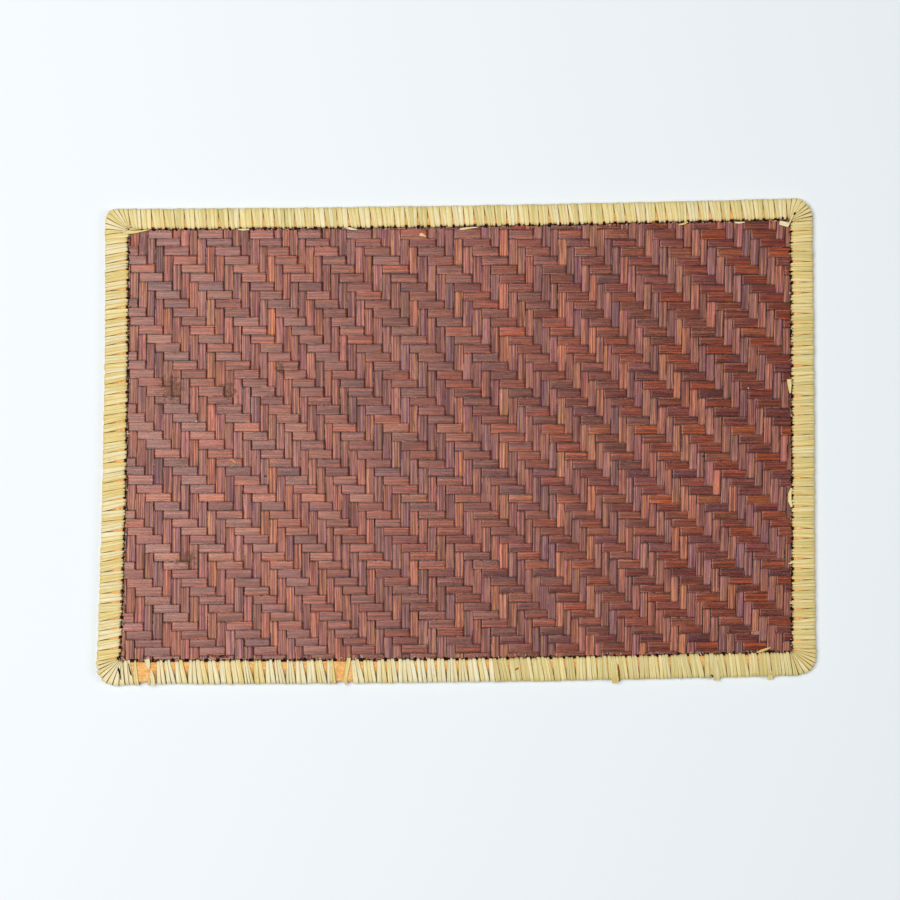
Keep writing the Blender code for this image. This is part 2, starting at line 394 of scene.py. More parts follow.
# The two ways that strips run. Each has its strips' numbers and edges, the numbers and edges of
# those it crosses, its dyes, where it lies on top, and what turns a place along a strip and a
# place across it into a plan point.
Lay = namedtuple("Lay", "name numbers edge crossed crossing dyes on_top plan")
LAYS = (
    Lay(
        "weft", WEFT_NUMBERS, weft_edge, WARP_NUMBERS, warp_edge, WEFT_DYES,
        weft_on_top, lambda along, across: (along, across),
    ),
    Lay(
        "warp", WARP_NUMBERS, warp_edge, WEFT_NUMBERS, weft_edge, WARP_DYES,
        lambda warp, weft: not weft_on_top(weft, warp), lambda along, across: (across, along),
    ),
)


def strip_shade(dyes, share, station):
    """A strip's colour and gloss at a share of its length, with painted shade where it dives."""
    red, green, blue, gloss = [(a + share * (b - a)) * station.tone for a, b in zip(*dyes)]
    red *= 1 + WARM_RED * station.warmth
    blue *= 1 - WARM_BLUE * station.warmth
    return red, green, blue, gloss * station.shine * (1 - WARM_GLOSS * station.warmth)


def weave_strip(strands, lay, number, rng):
    """One strip through the whole sheet, cut where it leaves the outline."""
    middle = lay.edge(number + 0.5, 0.0)
    crossed = range(lay.crossed[0], lay.crossed[1])
    edges = [lay.crossing(other, middle) for other in (*crossed, lay.crossed[1])]
    tops = [lay.on_top(number, other) for other in crossed]
    slack = [LOOSE_SLACK if rng.random() < LOOSE_SHARE else rng.uniform(*SLACK) for _ in (0, 1)]
    dyes = [dyed("".join(chart.split())[number - lay.numbers[0]]) for chart in lay.dyes]
    rings, along, shades = [], [], []
    roll = 0.0

    def sides(place):
        low, high = sorted((lay.edge(number, place), lay.edge(number + 1, place)))
        return low + slack[0] / 2, high - slack[1] / 2

    def fits(place):
        return all(inside(*lay.plan(place, edge)) for edge in sides(place))

    for station in trimmed(crimped(edges, tops, rng), fits):
        low, high = sides(station.place)
        centre, half = (low + high) / 2, (high - low) / 2
        roll = roll * ROLL_KEPT + rng.uniform(-ROLL, ROLL)
        ring = []
        for across, rise in STRIP_SECTION:
            x, y = lay.plan(station.place, centre + across * half)
            height = WEAVE_MIDDLE + station.height + rise + roll * across * half
            ring.append(Vector((x, y, height)))
        rings.append(ring)
        along.append(station.place)
        share = (station.place - edges[0]) / (edges[-1] - edges[0])
        shades.append(strip_shade(dyes, share, station))
    if len(rings) > 1:
        strands.add(rings, along, [across for across, _ in STRIP_SECTION], shades)


def weave(lay):
    """All the strips that run one way."""
    strands = Strands()
    rng = random.Random(lay.name)
    for number in range(lay.numbers[0], lay.numbers[1] + 1):
        weave_strip(strands, lay, number, rng)
    return strands


wefts, warps = [weave(lay) for lay in LAYS]


# The strips' finish is made of nodes. Every finish of the mat reads what the strands' points keep.
class Wire:
    """A socket in a finish's nodes. An operator on it adds the Math node that it stands for."""

    def __init__(self, finish, socket):
        self.finish = finish
        self.socket = socket

    def maths(self, operation, *values):
        return self.finish.node("Math", {"operation": operation}, dict(enumerate(values)))

    def __add__(self, other):
        return self.maths("ADD", self, other)

    def __sub__(self, other):
        return self.maths("SUBTRACT", self, other)

    def __rsub__(self, other):
        return self.maths("SUBTRACT", other, self)

    def __mul__(self, other):
        return self.maths("MULTIPLY", self, other)

    def __abs__(self):
        return self.maths("ABSOLUTE", self)

    def __pow__(self, other):
        return self.maths("POWER", self, other)

    __radd__ = __add__
    __rmul__ = __mul__


class Finish:
    """A material made of nodes, on one Principled shader."""

    def __init__(self, name, **constants):
        self.material = bpy.data.materials.new(name)
        self.material.use_nodes = True
        self.tree = self.material.node_tree
        self.shader = self.tree.nodes["Principled BSDF"]
        self.set(self.shader, constants)

    def set(self, shader, constants):
        for socket, value in constants.items():
            shader.inputs[socket.replace("_", " ")].default_value = value

    def matt_where(self, share, **constants):
        """A second shader, without the first one's sheen, takes over where the share is high."""
        matt = self.tree.nodes.new("ShaderNodeBsdfPrincipled")
        self.set(matt, constants)
        for link in list(self.tree.links):
            if link.to_node == self.shader and link.to_socket.name in ("Base Color", "Normal"):
                self.tree.links.new(link.from_socket, matt.inputs[link.to_socket.name])
        glossy, dull = [Wire(self, shader.outputs[0]) for shader in (self.shader, matt)]
        both = self.node("MixShader", {}, {0: share, 1: glossy, 2: dull})
        self.tree.links.new(both.socket, self.tree.nodes["Material Output"].inputs["Surface"])

    def node(self, kind, settings, sockets, out=0):
        """One node: its settings first, then its sockets' values or wires. Gives an output."""
        made = self.tree.nodes.new("ShaderNode" + kind)
        for name, value in settings.items():
            setattr(made, name, value)
        for name, value in sockets.items():
            if isinstance(value, Wire):
                self.tree.links.new(value.socket, made.inputs[name])
            else:
                made.inputs[name].default_value = value
        return Wire(self, made.outputs[out])

    def feed(self, **wires):
        for name, wire in wires.items():
            self.tree.links.new(wire.socket, self.shader.inputs[name.replace("_", " ")])

    def kept(self, label, out="Vector"):
        """What a strand's points keep under a name."""
        return self.node("Attribute", {"attribute_name": label}, {}, out)

    def parts(self, vector):
        split = self.tree.nodes.new("ShaderNodeSeparateXYZ")
        self.tree.links.new(vector.socket, split.inputs[0])
        return [Wire(self, socket) for socket in split.outputs]

    def vector(self, x, y, z):
        return self.node("CombineXYZ", {}, {"X": x, "Y": y, "Z": z})

    def noise(self, vector, detail, scale=1.0, roughness=0.5):
        sockets = {"Vector": vector, "Scale": scale, "Detail": detail, "Roughness": roughness}
        return self.node("TexNoise", {}, sockets, "Fac")

    def grain(self, grain, narrower=1.0):
        """Noise drawn out along a strand's fibres, and another in each strand."""
        along, across, number = self.parts(self.kept("fibre"))
        across = across * (grain.across * narrower)
        place = self.vector(along * grain.along, across, number * grain.apart)
        return self.noise(place, grain.detail, roughness=grain.roughness)

    def mask(self, value, none, full, strength=1.0):
        """0 where the value is at none, the strength where it is at full, and smooth between."""
        sockets = {"Value": value, "From Min": none, "From Max": full, "To Max": strength}
        return self.node("MapRange", {"interpolation_type": "SMOOTHSTEP"}, sockets)

    def mix(self, share, a, b, blend="MIX"):
        """A mix of two colours. Their sockets go by number, for other kinds have the same names."""
        colours = [value if isinstance(value, Wire) else (*value, 1.0) for value in (a, b)]
        settings = {"data_type": "RGBA", "blend_type": blend}
        return self.node("Mix", settings, {0: share, 6: colours[0], 7: colours[1]}, 2)

    def times(self, a, b):
        return self.mix(1.0, a, b, "MULTIPLY")

    def coats(self, colour, masks, coats):
        """A colour with others laid over it in turn, each where the mask that it names is high."""
        for coat in coats:
            share = self.mask(masks[coat.mask], coat.none, coat.full, coat.strength)
            colour = self.mix(share, colour, coat.colour)
        return colour

    def bump(self, height, distance, strength):
        return self.node("Bump", {}, {"Height": height, "Distance": distance, "Strength": strength})


# A grain: how fine it is along and across a strand, how far apart two strands' grains lie, and
# its noise's detail and roughness.
Grain = namedtuple("Grain", "along across apart detail roughness")
# A coat: its mask, that mask's values where there is none of it and where it is full, how strong
# it then is, and its colour.
Coat = namedtuple("Coat", "mask none full strength colour")
FINE_STREAKS = Grain(20.0, 1.0, 1.7, 4.0, 0.65)
HAIR_STREAKS = Grain(110.0, 2.6, 3.1, 3.0, 0.7)
BROAD_STREAKS = Grain(45.0, 1.2, 2.3, 2.0, 0.5)
TINTS = Grain(32.0, 5.5, 4.3, 3.0, 0.7)
ROSE = (1.00, 0.86, 1.44)  # the tints of single fibres, times the strip's colour
OCHRE = (1.06, 1.06, 0.58)
# A pale grey wash, partly the warps' own colour and partly painted sheen.
BLOOM_AND_SHEEN = (0.61, 0.43, 0.38)
PALE_EDGE = (0.52, 0.215, 0.10)
# Painted shade in the gaps beside a strip's edges.
PAINTED_GAP_SHADE = (0.030, 0.012, 0.009)
SHEEN_TINT = (1.0, 0.72, 0.645, 1.0)
# Where each mask is none and where it is full, and its strength where that isn't one.
DARK_STREAK = (0.52, 0.42)
LIGHT_STREAK = (0.51, 0.60)
THIN_STREAK = (0.46, 0.40)
THIN_STRENGTH = 0.9
BROAD_STREAK = (0.55, 0.35, 0.3)
TINT_CHANGE = (0.42, 0.58)
PALE_ACROSS = (0.88, 0.97)
PALE_ALONG = (0.54, 0.62, 0.7)
GAP_SHADE_ACROSS = (0.83, 0.93)
GAP_SHADE_ALONG = (0.54, 0.48)
DARK_DULLING = 0.22  # how much of the gloss a dark streak, a thin one and the painted gap shade take
THIN_DULLING = 0.18
GAP_SHADE_DULLING = 0.3
MATT = {"Roughness": 0.9, "Specular_IOR_Level": 0.1}
ROUGHER = 0.16  # how much rougher a strip is between its dark streaks
RELIEF = (0.00015, 0.9)  # the depth of its fibres in metres, and how strongly it shows
SECOND_RELIEF = 0.5  # height of the second grain in a relief, as a share of the first's
# The looks of the two ways: how strongly the skin mirrors and how rough it is, what its dye is
# times, how much pale grey bloom is mixed in, its dark and light streaks as times its dye, how
# strong they are and how narrow. The warps' lighter, greyer dye is partly their own colour and
# partly painted sheen.
StripLook = namedtuple("StripLook", "name ior rough lighter bloom dark light depth narrow")
WEFT_LOOK = StripLook(
    "dyed_bamboo_weft", 1.80, 0.16, (1.0, 1.0, 1.0), 0.0,
    (0.34, 0.32, 0.62), (1.86, 1.84, 1.30), 0.88, 3.9,
)
WARP_LOOK = StripLook(
    "dyed_bamboo_warp", 1.56, 0.36, (1.43, 1.84, 1.90), 0.18,
    (0.36, 0.30, 0.38), (1.62, 1.64, 1.45), 1.0, 3.6,
)

# Old spills: their middles, their half widths and depths, and how strong they are.
SPILL_BROWN = (0.100, 0.046, 0.020)
SPILL_DULLING = 0.75  # how much of the gloss a spill takes
BLOTCH_SCALE = 430.0
BLOTCH = 3.0  # how far the blotches eat into a spill, as times its half width
SPILL_NONE, SPILL_FULL = 2.3, 1.6  # the sum of reach and blotch where it ends and where it is full
Spill = namedtuple("Spill", "x y wide deep strength")
SPILLS = (
    Spill(-180.6, 35.4, 14.0, 14.0, 0.75),
    Spill(-143.9, 33.6, 8.0, 9.0, 0.75),
    Spill(-111.2, 47.7, 5.0, 6.5, 0.9),
    Spill(-171.5, -72.0, 11.0, 9.0, 0.7),
    Spill(145.5, -26.9, 4.5, 4.0, 0.4),
    Spill(-197.0, 128.0, 16.0, 12.0, 0.3),
)


def spilled(finish, colour, shine):
    """The colour and gloss under the spills."""
    place = finish.node("TexCoord", {}, {}, "Object")
    x, y, _ = finish.parts(place)
    blotch = finish.noise(place, detail=4.0, scale=BLOTCH_SCALE, roughness=0.65)
    for spill in SPILLS:
        off_x = (x - spill.x * MM) * (1 / (spill.wide * MM))
        off_y = (y - spill.y * MM) * (1 / (spill.deep * MM))
        reach = (off_x * off_x + off_y * off_y) ** 0.5
        wet = finish.mask(reach + blotch * BLOTCH, SPILL_NONE, SPILL_FULL, spill.strength)
        colour = finish.mix(wet, colour, SPILL_BROWN)
        shine = shine * (1 - wet * SPILL_DULLING)
    return colour, shine


def strip_finish(look):
    """Dyed bamboo: fibre streaks, pale edges, painted shade at some edges, and a few old spills."""
    constants = {"Metallic": 0.0, "Specular_IOR_Level": 1.0, "Specular_Tint": SHEEN_TINT}
    finish = Finish(look.name, IOR=look.ior, **constants)
    fine = finish.grain(FINE_STREAKS, look.narrow)
    hair = finish.grain(HAIR_STREAKS, look.narrow)
    broad = finish.grain(BROAD_STREAKS)
    deep = finish.mask(fine, *DARK_STREAK, look.depth)
    thin = finish.mask(hair, *THIN_STREAK, THIN_STRENGTH * look.depth)
    # The warps' dye is made lighter and greyer, partly their own colour and partly painted sheen.
    dye = finish.times(finish.kept("dye", "Color"), look.lighter)
    dye = finish.mix(look.bloom, dye, BLOOM_AND_SHEEN)
    dark, light = finish.times(dye, look.dark), finish.times(dye, look.light)
    colour = finish.mix(deep, dye, dark)
    colour = finish.mix(finish.mask(fine, *LIGHT_STREAK, look.depth), colour, light)
    colour = finish.mix(finish.mask(broad, *BROAD_STREAK), colour, dark)
    colour = finish.mix(thin, colour, dark)
    tint = finish.mix(finish.mask(finish.grain(TINTS), *TINT_CHANGE), ROSE, OCHRE)
    colour = finish.times(colour, tint)
    _, across, _ = finish.parts(finish.kept("fibre"))
    pale = finish.mask(abs(across), *PALE_ACROSS) * finish.mask(broad, *PALE_ALONG)
    colour = finish.mix(pale, colour, PALE_EDGE)
    # Painted shade along stretches of a strip's edges, where the gaps between strips lie.
    gap_shade = finish.mask(abs(across), *GAP_SHADE_ACROSS) * finish.mask(broad, *GAP_SHADE_ALONG)
    colour = finish.mix(gap_shade, colour, PAINTED_GAP_SHADE)
    colour, shine = spilled(finish, colour, finish.kept("dye", "Alpha"))
    finish.feed(
        Base_Color=colour,
        Roughness=look.rough + ROUGHER * fine,
        Normal=finish.bump(hair * SECOND_RELIEF + fine, *RELIEF),
    )
    shine = shine * (1 - deep * DARK_DULLING) * (1 - thin * THIN_DULLING)
    shine = shine * (1 - gap_shade * GAP_SHADE_DULLING)
    finish.matt_where(1 - shine, **MATT)
    return finish.material


weft_look, warp_look = strip_finish(WEFT_LOOK), strip_finish(WARP_LOOK)
weft_piece = wefts.piece("weft_strips", weft_look, "woven_strips")
warp_piece = warps.piece("warp_strips", warp_look, "woven_strips")
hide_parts("woven_panel")
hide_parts("woven_panel")

# The rim slats. A flat split of undyed bamboo lies on the weave along each edge, its skin side up
# and its outer edge shaved off. They meet in a mitre at the corners, under the binding.
SLAT_BOTTOM = 2.3
SLAT_TOP = 4.15
SLAT_CROWN = 0.1  # how much higher its middle is
FAN_INNER = 1.6  # length of the inner edge that half a corner's fan of turns takes up
SLAT_STATIONS = 110
SLAT_WAVE = 0.125  # how far its inner edge strays between two stations
SLAT_WAVE_KEPT = 0.8  # share of the straying that goes on to the next station
SLAT_DYE = (0.92, 0.46, 0.10, 1.0)  # its fourth number is how much painted shade lies on its outer half
BARE_DYE = (0.90, 0.45, 0.11, 0.0)
BARE_SPANS = ((-206.0, -190.0), (-80.0, -65.0))  # x from and to, where the front slat lies bare
MITRE_PAINTED_SHADE = (0.10, 0.045, 0.015, 1.0)  # painted shade under the fans, where little light comes
MITRE_BEYOND = 1.0  # how far beyond a fan that painted shade reaches
# How much shorter the fan at a side's start is than the even share, and the one at its end longer.
LEANS = {"front": -2.0, "right": -1.0, "back": -0.8, "left": -2.0}


class Path:
    """A line of plan points that is read by the distance along it."""

    def __init__(self, points):
        self.points = points
        self.reached = [0.0]
        for a, b in zip(points, points[1:]):
            self.reached.append(self.reached[-1] + (b - a).length)
        self.length = self.reached[-1]

    def at(self, distance):
        distance = min(max(distance, 0.0), self.length)
        place = min(bisect.bisect_right(self.reached, distance), len(self.points) - 1)
        start, end = self.reached[place - 1], self.reached[place]
        return self.points[place - 1].lerp(self.points[place], (distance - start) / (end - start))


def inner_corner(before, after):
    """Where the inner edges of two sides' rims cross."""
    tip = corner_point(after.start)
    along_before, along_after = direction(before), direction(after)
    square = along_before.cross(along_after)
    return tip - along_before * after.rim / square + along_after * before.rim / square


class Rim:
    """One side's rim, from the middle of one corner's fan to the middle of the next."""

    def __init__(self, side):
        before, after = neighbours(side)
        self.side = side
        self.outer = Path(outer_edge(side))
        self.inner = Path(bowed(inner_corner(before, side), inner_corner(side, after), side.bow))
        spare = self.outer.length - (self.inner.length - 2 * FAN_INNER)
        lean = LEANS[side.name]
        self.fans = spare / 2 - lean, spare / 2 + lean

    def inner_distance(self, distance):
        """Where a line across the rim meets the inner edge, by where it leaves the outer one."""
        if distance < self.fans[0]:
            return FAN_INNER * distance / self.fans[0]
        if distance > self.outer.length - self.fans[1]:
            return self.inner.length - FAN_INNER * (self.outer.length - distance) / self.fans[1]
        return FAN_INNER + distance - self.fans[0]

    def ends(self, distance):
        return self.outer.at(distance), self.inner.at(self.inner_distance(distance))

    def point(self, distance, edge, across, height):
        """A point across the rim, so far in from its outer or so far out from its inner edge."""
        outer, inner = self.ends(distance)
        inward = (inner - outer).normalized()
        plan = outer + inward * across if edge == "outer" else inner - inward * across
        if edge == "middle":
            plan = outer.lerp(inner, across)
        return Vector((plan.x, plan.y, height))


RIMS = {side.name: Rim(side) for side in SIDES}

# A slat's section: which of the rim's edges, how far from it, how high, and how far across the
# slat, from 1 at its inner to -1 at its outer edge.
SLAT_SECTION = (
    ("inner", 1.2, SLAT_BOTTOM, 1.0),
    ("inner", 1.25, SLAT_TOP - 0.45, 0.9),
    ("inner", 1.9, SLAT_TOP, 0.6),
    ("middle", 0.5, SLAT_TOP + SLAT_CROWN, 0.0),
    ("outer", 2.4, SLAT_TOP, -0.6),
    ("outer", 1.5, SLAT_TOP - 0.8, -0.9),
    ("outer", 1.4, SLAT_BOTTOM, -1.0),
    ("middle", 0.5, SLAT_BOTTOM, 0.0),
)
SLAT_FIBRES = Grain(40.0, 16.0, 2.1, 3.0, 0.5)
SLAT_MOTTLES = Grain(260.0, 2.2, 1.3, 4.0, 0.5)
PATCH_SCALE = 520.0
SLAT_COATS = (
    Coat("fibres", 0.60, 0.38, 0.50, (0.52, 0.19, 0.035)),
    Coat("mottles", 0.50, 0.72, 0.55, (0.93, 0.58, 0.22)),
    Coat("mottles", 0.42, 0.26, 0.60, (0.42, 0.13, 0.02)),
    Coat("patches", 0.50, 0.62, 0.55, (0.90, 0.68, 0.34)),
    Coat("patches", 0.36, 0.30, 0.70, (0.35, 0.10, 0.02)),
)
SLAT_PAINTED_SHADE = (0.13, 0.075, 0.02)  # painted shade on its outer half, which the turns cover
SLAT_SHADE_ACROSS = (0.35, -0.35)  # where across it that painted shade starts and where it is full
SLAT_ROUGH = 0.45
SLAT_ROUGHER = 0.2  # how much rougher it is between its fibres
SLAT_RELIEF = (0.0003, 0.8)


def slat_finish():
    """Undyed bamboo: orange-tan, long fibres, darker blotches, painted shade under the turns."""
    finish = Finish("bare_bamboo_slat", Metallic=0.0, Specular_IOR_Level=0.4)
    place = finish.node("TexCoord", {}, {}, "Object")
    masks = {
        "fibres": finish.grain(SLAT_FIBRES),
        "mottles": finish.grain(SLAT_MOTTLES),
        "patches": finish.noise(place, detail=4.0, scale=PATCH_SCALE, roughness=0.6),
    }
    colour = finish.coats(finish.kept("dye", "Color"), masks, SLAT_COATS)
    _, across, _ = finish.parts(finish.kept("fibre"))
    slat_shade = finish.mask(across, *SLAT_SHADE_ACROSS) * finish.kept("dye", "Alpha")
    finish.feed(
        Base_Color=finish.mix(slat_shade, colour, SLAT_PAINTED_SHADE),
        Roughness=SLAT_ROUGH + SLAT_ROUGHER * masks["fibres"],
        Normal=finish.bump(masks["fibres"] + masks["mottles"] * SECOND_RELIEF, *SLAT_RELIEF),
    )
    return finish.material


def slat_colour_and_shade(rim, distance):
    """The slat's colour at a distance along the rim, with painted shade under the fans."""
    x = rim.outer.at(distance).x
    if rim.side.name == "front" and any(first < x < last for first, last in BARE_SPANS):
        return BARE_DYE
    first = rim.fans[0] - MITRE_BEYOND
    last = rim.outer.length - rim.fans[1] + MITRE_BEYOND
    return SLAT_DYE if first < distance < last else MITRE_PAINTED_SHADE


slat_look = slat_finish()
for rim in RIMS.values():
    rng = random.Random("slat " + rim.side.name)
    slat = Strands()
    rings, along, dyes = [], [], []
    stray = 0.0
    for step in range(SLAT_STATIONS + 1):
        distance = rim.outer.length * step / SLAT_STATIONS
        stray = stray * SLAT_WAVE_KEPT + rng.uniform(-SLAT_WAVE, SLAT_WAVE)
        rings.append([
            rim.point(distance, edge, across + (stray if edge == "inner" else 0.0), height)
            for edge, across, height, _ in SLAT_SECTION
        ])
        along.append(distance)
        dyes.append(slat_colour_and_shade(rim, distance))
    slat.add(rings, along, [share for *_, share in SLAT_SECTION], dyes)
    made = slat.piece("bare_slat_" + rim.side.name, slat_look, "rim_slat")
    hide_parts("slat_" + rim.side.name)

# The binding. A split, pale strand is wound round slat and weave in bands: two or three turns
# through one awl hole at the rim's inner edge, and then on to the next. Under the mat the last
# turn of a band slants over to the next hole. Round each corner the turns fan out of two holes.
STRAND_THICKNESS = 0.42
STRAND_CROWN = 0.14  # how much lower a strand's edges lie than its middle
CREASES = (0.0, 0.0, 0.0, 0.084, 0.14)  # depths of the crease along a strand
CREASE_OFF = 0.3  # how far from its middle the crease may lie, as a share of half its width
CROWN_PLACE = 0.55  # and how far from it the crown's two shoulders lie
UNDERSIDE = 0.94  # width of a strand's underside, as a share of its own
TIP_UNEVEN = 0.05  # how much more or less than its side's a turn may lie tipped
LIFTS = (-0.05, 0.12)  # how far a turn lies above its even height
TIP_LIFT = 0.8  # how much further up it lies for being tipped
CLOSED = (-0.1, 0.02)  # the slit at a turn's edge where it goes into the hole
REACH = (-0.6, 0.5)  # how far a turn's inner end may lie beyond its even place
BULGE = (-0.25, 0.35)  # and its outer end
UNDER_HALF = 0.75  # half a turn's width under the mat
# How far a band's inner end may lie along from its outer end.
SWAYS = {"front": 1.1, "right": 0.5, "back": 0.5, "left": 0.8}
BAND_UNEVEN = 0.15
# The front's bands that differ: each one's number, length and turns. Those with no turns are bare.
SET_BANDS = {0: (5.6, 2), 1: (3.4, 1), 2: (10.8, 0), 20: (10.0, 0)}
# How far the turns stand out at a side's start and at its end, and how soon that fades.
CORNER_BULGES = {
    "front": ((1.3, 32.0), (0.3, 10.0)),
    "right": ((1.1, 75.0), (0.0, 1.0)),
    "left": ((0.0, 1.0), (1.2, 12.0)),
}
FAN_BULGE = 0.5  # how unevenly the turns of a fan stand out
OFF_TABLE = 0.02  # how far off the table a turn's underside is
TOP = SLAT_TOP + SLAT_CROWN + STRAND_THICKNESS / 2
UNDER = STRAND_THICKNESS / 2 + OFF_TABLE

# Each side's winding: the length of a band, its numbers of turns, the gaps between two bands at
# the outer and the inner edge, the slit at a turn's edge, the turns in the fans at its start and
# end and the slit there, the least and most that a turn lies tipped, the size of the holes, and
# the strand's colours. The front has another winding on its right half.
Winding = namedtuple(
    "Winding", "pitch turns outer_gap inner_gap slit fan_start fan_end fan_slit tip hole dyes",
)
YELLOW = (0.80, 0.64, 0.23, 1.0)
STRAW = (0.83, 0.70, 0.30, 1.0)
CREAM = (0.86, 0.77, 0.46, 1.0)
OLIVE = (0.68, 0.59, 0.22, 1.0)
BONE = (0.82, 0.785, 0.52, 1.0)
DRAB = (0.66, 0.55, 0.24, 1.0)
FRONT_CHANGES = 20.0  # right of here the front is wound closer, with a yellower strand
WINDINGS = {
    "front": Winding(
        6.7, (2, 2, 2, 3), (0.1, 0.5), (1.2, 2.9), (0.0, 0.2), 4, 3, (0.12, 0.4),
        (0.0, 0.22), 1.15, (BONE, BONE, BONE, CREAM, CREAM, STRAW),
    ),
    "front's right half": Winding(
        6.7, (3, 2, 3, 2), (0.05, 0.3), (0.5, 1.4), (0.0, 0.12), 4, 3, (0.12, 0.4),
        (-0.06, 0.14), 1.0, (OLIVE, OLIVE, STRAW, DRAB),
    ),
    "right": Winding(
        6.5, (3, 3, 2), (0.0, 0.25), (0.7, 1.8), (0.0, 0.04), 5, 4, (0.1, 0.35),
        (-0.1, 0.1), 1.1, (YELLOW, YELLOW, STRAW, OLIVE),
    ),
    "back": Winding(
        7.0, (3, 2, 3, 2), (0.05, 0.35), (0.9, 2.0), (0.0, 0.02), 4, 4, (0.05, 0.3),
        (-0.12, 0.04), 1.0, (STRAW, STRAW, CREAM, STRAW, OLIVE),
    ),
    "left": Winding(
        6.1, (2, 3, 2), (0.05, 0.35), (0.8, 1.9), (0.0, 0.03), 4, 4, (0.1, 0.4),
        (-0.08, 0.08), 0.9, (STRAW, CREAM, YELLOW),
    ),
}

# The way round the rim, by the middle of the strand's thickness: first the top, then the bottom.
# "share" goes from 0 at the outer to 1 at the inner edge, and "wide" is the part of its width
# that the strand keeps, for it is pinched where it goes down into its hole.
Way = namedtuple("Way", "edge across height share wide")
OVER = (
    Way("inner", 1.0, 1.4, 1.0, 0.45),
    Way("inner", 0.35, 2.2, 1.0, 0.55),
    Way("inner", 0.15, 3.0, 1.0, 0.7),
    Way("inner", 0.45, 3.75, 1.0, 0.84),
    Way("inner", 1.2, 4.2, 0.97, 0.95),
    Way("inner", 2.4, TOP - 0.08, 0.86, 1.0),
    Way("inner", 4.2, TOP + 0.1, 0.75, 1.0),
    Way("middle", 0.5, TOP + 0.17, 0.4, 1.0),
    Way("outer", 4.2, TOP + 0.08, 0.15, 1.0),
    Way("outer", 2.6, TOP - 0.1, 0.05, 1.0),
    Way("outer", 1.5, 4.05, 0.0, 1.0),
    Way("outer", 0.75, 3.45, 0.0, 1.0),
    Way("outer", 0.4, 2.6, 0.0, 1.0),
    Way("outer", 0.35, 1.7, 0.0, 1.0),
    Way("outer", 0.6, 0.9, 0.0, 1.0),
)
BELOW = (
    Way("outer", 1.3, 0.4, 0.0, 1.0),
    Way("outer", 2.8, UNDER, 0.1, 1.0),
    Way("middle", 0.5, UNDER, 0.5, 1.0),
    Way("inner", 3.2, UNDER, 0.85, 1.0),
    Way("inner", 1.7, 0.45, 1.0, 0.8),
    Way("inner", 1.0, 1.2, 1.0, 0.5),
)
LOOSE_ENDS_WITHIN = 4.2  # reach and bulge die out this far from the edge
ON_TOP = 3.5  # height above which a turn is lifted and tipped
RIM_CORE = 2.3  # height of the middle of the rim

Band = namedtuple("Band", "start end turns sway")
Turn = namedtuple("Turn", "outer inner under")


def winding_at(rim, distance):
    """How a side is wound at a distance along it."""
    if rim.side.name == "front" and rim.outer.at(distance).x > FRONT_CHANGES:
        return WINDINGS["front's right half"]
    return WINDINGS[rim.side.name]


def bands_of(rim):
    """Where each band of turns starts and ends on the outer edge, and its turns: none, if bare."""
    side, winding = rim.side, WINDINGS[rim.side.name]
    set_bands = SET_BANDS if side.name == "front" else {}
    rng = random.Random("bands " + side.name)
    straight = rim.outer.length - sum(rim.fans)
    count = round(straight / winding.pitch)
    widths = [1 + rng.uniform(-BAND_UNEVEN, BAND_UNEVEN) for _ in range(count)]
    for number, (length, _) in set_bands.items():
        widths[number] = length / winding.pitch
    unit = straight / sum(widths)
    place = rim.fans[0]
    found = []
    for number, width in enumerate(widths):
        sway = rng.uniform(-1, 1) * SWAYS[side.name]
        turns = rng.choice(winding_at(rim, place).turns)
        if number in set_bands:
            turns = set_bands[number][1]
        found.append(Band(place, place + width * unit, turns, sway))
        place += width * unit
    return found


def shared_out(start, end, parts, slit, rng):
    """A length shared out between turns, with a slit at either side of each."""
    step = (end - start) / parts
    return [
        (start + step * part + rng.uniform(*slit), start + step * (part + 1) - rng.uniform(*slit))
        for part in range(parts)
    ]


def fan_turns(start, end, count, winding, rng):
    """The turns of a side's half of a corner's fan, which don't slant."""
    fan = shared_out(start, end, count, winding.fan_slit, rng)
    return [Turn(edges, edges, edges) for edges in fan]


def turns_of(rim, rng):
    """The turns of a side: their two edges on the outer edge, at the inner holes and underneath."""
    winding = WINDINGS[rim.side.name]
    found = fan_turns(0.0, rim.fans[0], winding.fan_start, winding, rng)
    bands = bands_of(rim)
    for place, band in enumerate(bands):
        if not band.turns:
            continue
        winding = winding_at(rim, band.start)
        outer_gap = rng.uniform(*winding.outer_gap) / 2
        inner_gap = rng.uniform(*winding.inner_gap) / 2
        start, end = band.start + outer_gap, band.end - outer_gap
        outer = shared_out(start, end, band.turns, winding.slit, rng)
        start, end = band.start + inner_gap + band.sway, band.end - inner_gap + band.sway
        inner = shared_out(start, end, band.turns, CLOSED, rng)
        after = bands[min(place + 1, len(bands) - 1)]
        for number in range(band.turns):
            goes_to = band if number < band.turns - 1 else after
            middle = (goes_to.start + goes_to.end) / 2
            under = [middle - UNDER_HALF, middle + UNDER_HALF]
            found.append(Turn(outer[number], inner[number], under))
    length = rim.outer.length
    return found + fan_turns(length - rim.fans[1], length, winding.fan_end, winding, rng)


def turn_bulge(rim, place, rng):
    """How far a turn's outer end lies beyond its even place."""
    bulge = rng.uniform(*BULGE)
    off_corners = place, rim.outer.length - place
    for distance, (most, fading) in zip(off_corners, CORNER_BULGES.get(rim.side.name, ())):
        bulge += most * max(0.0, 1 - distance / fading)
    if not rim.fans[0] < place < rim.outer.length - rim.fans[1]:
        bulge += rng.uniform(0, FAN_BULGE)
    return bulge


